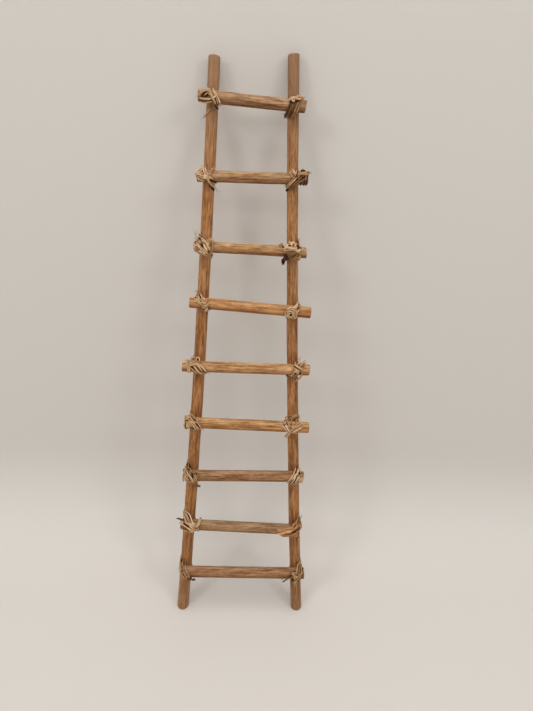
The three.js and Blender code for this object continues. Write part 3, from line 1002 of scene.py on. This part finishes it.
@recipe(4, "right", tone=0.68)
def tie_up_the_rail(tie):
    tie.bundle(-44, at=-3)
    tie.sheaf([(-5.5, 3), (-1, 5.5), (5, 8.5)], 5, pitch=1.5, tone=0.6, dark=False)
    tie.over([(-4, 6), (0, 7.5), (4, 9.5)], width=0.8, tone=0.3)
    tie.over([(-4.5, -5), (0, -6), (4.5, -5)], out=2, tone=0.45)
    tie.sheaf([(-8.5, 5), (-5.5, 1.5), (-2, -3.5)], 4, pitch=1.7, out=4.2)
    tie.sheaf([(-3.5, -1), (2, 2), (7, 5)], 4, pitch=1.6, out=4.6, tone=0.62, dark=False)
    tie.gap([(-4, 3.5), (-2.5, 1.5)], out=5.6, width=1.6)
    tie.stiff([(-5, -2), (-6, -8), (-6.5, -13)], 4, width=1.5, tone=0.45)
    tie.stiff([(-4, -3), (-4.5, -8), (-5, -12)], 4, width=1.3, tone=0.55)
    tie.whiskers(6, 4.5, 3, 11, count=2, spread=4)


@recipe(3, "left", tone=0.52)
def fine_tie_with_a_dark_tail(tie):
    tie.bundle(-56, at=0)
    tie.sheaf([(-5, 5), (-5.5, 1), (-5, -4)], 3, pitch=1.3, out=3.6, width=0.85)
    tie.sheaf([(-6, 5), (-4, 2), (-1, -2), (2.5, -6)], 4, pitch=1.3, out=4, width=0.8, tone=0.55)
    tie.sheaf([(4, 5.5), (5, 1.5), (5.5, -4)], 4, pitch=1.3, out=4.2, width=0.85, tone=0.45)
    tie.sheaf([(-5.5, 8), (-3, 5.5), (0.5, 1), (4, -4)], 5, pitch=1.4, out=4.4, width=0.85, tone=0.62)
    tie.over([(-5, 8), (-4.5, 10.5)], width=0.8, tone=0.5)
    tie.gap([(0.5, 6), (1.5, 4), (1.5, 2), (2, 0)], out=6, width=1.1)
    tie.stiff([(0, -0.5), (3, -4.5), (5, -10), (7, -19.5)], 5.5, width=1.4, tone=0.4, tips=(0.7, 0.2))
    tie.stiff([(1.5, -2.5), (4, -8), (6.5, -18)], 6, width=1.4, tone=0.25, tips=(0.7, 0.2))


@recipe(3, "right", tone=0.66)
def steep_parallel_tie(tie):
    tie.bundle(56, at=0)
    tie.sheaf([(5, 4), (5.5, 0), (5, -3.5)], 3, pitch=1.7, out=3, width=1.3, tone=0.7, dark=False)
    tie.sheaf([(-4, -6), (-1.5, -1.5), (1.5, 3.5), (4.5, 7)], 5, pitch=(1.9, 1.4), out=4)
    tie.sheaf([(1, -4.5), (3.5, -0.5), (6.5, 3.5)], 3, pitch=1.7, out=4.4, width=1.1, tone=0.72)
    tie.tail(0.5, -8, heading=-80, length=4, tone=0.5)


@recipe(2, "left", tone=0.54)
def tie_with_pointed_tails(tie):
    tie.bundle(-50, at=1.5, tone=0.35)
    tie.sheaf([(-6, 2.5), (-2.5, -0.5), (2, -3.5)], 4, pitch=1.7, out=4, width=1.1, tone=0.42, dark=False)
    upper = [(-6, 7.5), (-2, 5.5), (2.5, 2.5), (7, 0)]
    tie.sheaf(upper, 5, pitch=1.6, out=4.6, width=1.3, tone=0.75, dark=False)
    tie.over([(-5.5, 8.5), (-2, 7), (2, 5.5)], out=2.5, width=1.1, tone=0.55)
    tie.sheaf([(2.5, -4.5), (6, 0), (9, 3.5), (11.5, 7)], 2, pitch=1.6, out=6, width=1.2, tone=0.5)
    tie.over([(-3.5, 6), (-7, 6.5), (-11.5, 6.5)], out=4.8, width=1.3, tone=0.3, tips=(0.9, 0.1))
    tie.sheaf([(5.5, 1.5), (8, 0), (10.5, -3)], 2, pitch=1.7, out=5.4, tone=0.55)
    tie.gap([(-4.5, 6), (-1, 3.5), (2.5, 1)], out=5.8, width=1.2)
    tie.whiskers(-2, 8, 110, 5, count=3)


@recipe(2, "right", tone=0.5, fibre="bark_fibre")
def leafy_tie(tie):
    tie.bundle(40, at=-1, width=1.2)
    tie.sheaf([(-3, -6), (0.5, -4.5), (3, -3)], 3, pitch=1.8, out=3, width=1.5, tone=0.45)
    tie.sheaf([(-9.5, -4.5), (-3, -3.5), (3, -0.5)], 3, pitch=1.8, out=3.6, width=1.6, dark=False)
    tie.sheaf([(-15, -2.5), (-9, -1.5), (-3, 1), (3.5, 4.5)], 3, pitch=1.9, out=4.2, width=1.5)
    upper = [(-17.5, 0.5), (-11, 2), (-4, 4), (3.5, 6.5)]
    tie.sheaf(upper, 3, pitch=1.6, out=4.4, width=1.6, tone=0.65, dark=False)
    tie.sheaf([(-5, 2.5), (-0.5, 5), (3, 8)], 3, pitch=1.6, out=3.4, width=1.5, dark=False)
    tie.gap([(-4.5, 1), (0, 3.5), (3.5, 6)], out=6.2, width=1.1)
    tie.whiskers(4, 6, 92, 8, count=4, spread=8, tone=DARK)
    tie.tail(-3, 5, heading=140, length=3, width=0.8, tone=0.2)


@recipe(1, "left", tone=0.5)
def tie_with_two_dark_tips(tie):
    tie.bundle(-58, at=1)
    tie.sheaf([(-3.5, 9.5), (-2.5, 5), (-0.5, 0), (1.5, -4)], 4, pitch=1.25, out=4, width=0.85, tone=0.48)
    tie.sheaf([(-1.5, 6), (1, 2), (4, -3)], 4, pitch=1.3, out=4.4, width=0.85, tone=0.5)
    tie.gap([(-1.5, 3.5), (0.5, 0.5)], out=5.2, width=0.9)
    tie.knot(3, -0.5, 1.8, tone=0.5)
    tie.stiff([(3.5, 0), (7, -3.5), (10.5, -8.5)], 5.4, width=1.2, tone=0.15, tips=(0.9, 0.3))
    tie.stiff([(3, -1.5), (6, -6), (9.5, -14)], 5, width=1.2, tone=0.25, tips=(0.9, 0.3))
    tie.over([(1.5, -1), (2.5, -4.5), (1.5, -8)], out=4.2, tone=0.4)
    tie.whiskers(3, 3, 60, 3, count=4, spread=60)


@recipe(1, "right", tone=0.52)
def tie_with_a_thick_tail(tie):
    tie.bundle(56, at=0)
    tie.sheaf([(0.5, -4.5), (3, -0.5), (5, 4)], 3, pitch=1.5, out=4, tone=0.4)
    tie.over([(-4, 5.5), (-3, 1), (-1.5, -3)], out=4.2, width=1.2, tone=0.5)
    tie.sheaf([(-4, -3.5), (-1, 0), (2, 4), (5, 8)], 4, pitch=1.6, out=4.4, width=0.9, tone=0.5)
    tie.sheaf([(-4.5, 2), (-1.5, 3.5), (1.5, 5.5)], 3, pitch=1.5, out=3.8, tone=0.55)
    tie.knot(-3, 3.5, 1.6, turn=50, tone=0.6)
    tie.over([(-5, 5), (-2, 2), (1.5, 0)], out=5.4, tone=0.65)
    tie.knot(-1.5, 1.5, 1.9, tone=0.55)
    tie.knot(-5, 2, 1.9, tone=0.15)
    tie.knot(-3.5, -2.5, 1.6, tone=0.1)
    tie.knot(-1, -5, 1.5, tone=0.5)
    tie.over([(-3.5, 3), (-8, -1), (-13.5, -6)], out=6, width=1.3, tone=0.15, tips=(0.9, 0.5))
    tie.whiskers(-12, -5, -125, 4, count=5, spread=25, tone=0.05)
    tie.whiskers(4, 9, 80, 4, count=4, tone=0.05)


TONE_STEPS = (0, 0.15, 0.4, 0.7, 1)  # where the five tones of a fibre lie


def fibre_material(name, *tones):
    """Dry fibre with fine lengthwise strands, with painted shade on the lower side of each strand, where it
    sinks into the folds. Its tones go from dark to pale.
    """
    n = Nodes(name)
    place = n.attribute("place").outputs["Vector"]
    tone = n.attribute("tone").outputs["Fac"]
    body = n.ramp(tone, *((at, colour(*tint)) for at, tint in zip(TONE_STEPS, tones)))
    fibres = n.noise(n.stretched(place, (4200, 4200, 130)), 3, 0.6)
    blotches = n.noise(n.stretched(place, (500, 500, 260)), 2)
    body = n.times(0.75, body, n.ramp(fibres, (0.3, (0.6, 0.56, 0.5)), (0.62, (1.08, 1.07, 1.05))))
    body = n.times(0.6, body, n.ramp(blotches, (0.35, (0.68, 0.64, 0.58)), (0.6, (1.06, 1.05, 1.03))))
    # Painted shade: the lower part and sides of each strand are darkened almost to black, like the shade in
    # the folds between strands.
    height = n.math("MULTIPLY_ADD", n.parts(place)["Y"], 0.5 / STRAND_HALF_DEPTH, 0.5)
    painted_fold_shade = n.ramp(height, (0.3, (0.2, 0.1, 0.03)), (0.58, (0.68, 0.56, 0.44)), (0.82, (1,)))
    n.link(n.times(1.0, body, painted_fold_shade), n.shader.inputs["Base Color"])
    n.shader.inputs["Roughness"].default_value = 0.72
    n.shader.inputs["Specular IOR Level"].default_value = 0.15
    n.bump(fibres, 0.09 * MM, 0.8)
    return n.material


FUZZ = 16  # stray fibres on each lashing
FIBRES = {
    "straw_fibre": fibre_material(
        "straw_fibre", (64, 34, 12), (110, 73, 41), (176, 136, 96), (236, 198, 158), (253, 232, 204)
    ),
    "bark_fibre": fibre_material(
        "bark_fibre", (72, 36, 14), (122, 77, 43), (178, 126, 82), (222, 172, 126), (246, 214, 172)
    ),
}
for index, ((number, side), (tone, fibre, moves)) in enumerate(RECIPES.items()):
    node = f"rung_{number}_{side}_lashing"
    tie = Lashing(Crossing(rungs[number], rails[side]), tone, seed=LASHING_SEEDS + index)
    moves(tie)
    tie.fuzz(FUZZ)
    tie.shell.finish(f"{node}_fibre", FIBRES[fibre], [node], "lashing_fibre")


# --- Stage, light and camera ----------------------------------------------------------------------

FLOOR_FRONT = -1.6
WALL_TOP = 1.9
STAGE_HALF_WIDTH = 2.0
SWEEP_LENGTH = 0.2
SWEEP_STEPS = 40
WALL_GAP = 0.5 * MM
wall_y = cad_box[1][1] + WALL_GAP

WARM = (1.0, 0.98, 0.952)  # the colour of every light
ROOM_LIGHT = 0.45
LADDER_MIDDLE = (0, 0.05, 0.25)
FLOOR_IN_FRONT = (0, -0.1, 0)


def stage_material():
    """Pale matte paper that can't be seen from behind, so that views from behind and below are clear."""
    n = Nodes("backdrop_paper")
    n.shader.inputs["Base Color"].default_value = (*colour(224, 220, 215), 1)
    n.shader.inputs["Roughness"].default_value = 0.9
    n.shader.inputs["Specular IOR Level"].default_value = 0.1
    clear = n.add("ShaderNodeBsdfTransparent")
    pick = n.add("ShaderNodeMixShader")
    n.link(n.add("ShaderNodeNewGeometry").outputs["Backfacing"], pick.inputs["Fac"])
    n.link(n.shader.outputs["BSDF"], pick.inputs[1])
    n.link(clear.outputs["BSDF"], pick.inputs[2])
    n.link(pick.outputs["Shader"], n.tree.nodes["Material Output"].inputs["Surface"])
    return n.material


def make_stage():
    """A floor that turns up gently into a wall just behind the ladder's top."""
    share = np.linspace(0, 1, SWEEP_STEPS)
    turned = np.pi / 2 * share**2 * (3 - 2 * share)
    ahead = np.cumsum(np.cos(turned)) * SWEEP_LENGTH / SWEEP_STEPS
    up = np.cumsum(np.sin(turned)) * SWEEP_LENGTH / SWEEP_STEPS
    profile = [(FLOOR_FRONT, 0.0), *zip(wall_y - ahead[-1] + ahead, up - up[0])]
    profile.append((wall_y, WALL_TOP))
    corners = [(x, y, z) for x in (-STAGE_HALF_WIDTH, STAGE_HALF_WIDTH) for y, z in profile]
    n = len(profile)
    faces = [(i, n + i, n + i + 1, i + 1) for i in range(n - 1)]
    mesh = bpy.data.meshes.new("backdrop")
    mesh.from_pydata(corners, [], faces)
    mesh.polygons.foreach_set("use_smooth", np.ones(len(faces), bool))
    mesh.materials.append(stage_material())
    backdrop = bpy.data.objects.new("backdrop", mesh)
    bpy.context.scene.collection.objects.link(backdrop)


def softbox(name, place, target, size, power):
    """A warm rectangular light that faces its target."""
    light = bpy.data.lights.new(name, "AREA")
    light.shape = "RECTANGLE"
    light.size, light.size_y = size
    light.energy = power
    light.color = WARM
    lamp = bpy.data.objects.new(name, light)
    lamp.location = place
    lamp.rotation_euler = (Vector(target) - Vector(place)).to_track_quat("-Z", "Y").to_euler()
    bpy.context.scene.collection.objects.link(lamp)


make_stage()
softbox("left_softbox", (-1.1, -0.95, 1.28), LADDER_MIDDLE, size=(0.4, 0.4), power=4.2)
softbox("right_softbox", (1.05, -0.95, 1.28), LADDER_MIDDLE, size=(0.4, 0.4), power=3.3)
softbox("top_softbox", (0, -0.35, 1.7), FLOOR_IN_FRONT, size=(0.9, 1.0), power=10.3)

world = bpy.data.worlds.new("studio")
bpy.context.scene.world = world
world.use_nodes = True
room = world.node_tree.nodes["Background"]
room.inputs["Color"].default_value = (*WARM, 1)
room.inputs["Strength"].default_value = ROOM_LIGHT

CAMERA_PLACE = Vector((-0.0063, -0.3907, 0.4935))
CAMERA_TARGET = Vector((0.0153, 0.0063, 0.2600))
CAMERA_ROLL = math.radians(3.52)
LENS = 27.04

camera_data = bpy.data.cameras.new("camera")
camera_data.lens = LENS
camera_data.clip_start = 0.01
camera = bpy.data.objects.new("camera", camera_data)
aim = (CAMERA_TARGET - CAMERA_PLACE).to_track_quat("-Z", "Y").to_matrix().to_4x4()
camera.matrix_world = Matrix.Translation(CAMERA_PLACE) @ aim @ Matrix.Rotation(CAMERA_ROLL, 4, "Z")
bpy.context.scene.collection.objects.link(camera)
bpy.context.scene.camera = camera
bpy.context.scene.view_settings.view_transform = "Standard"
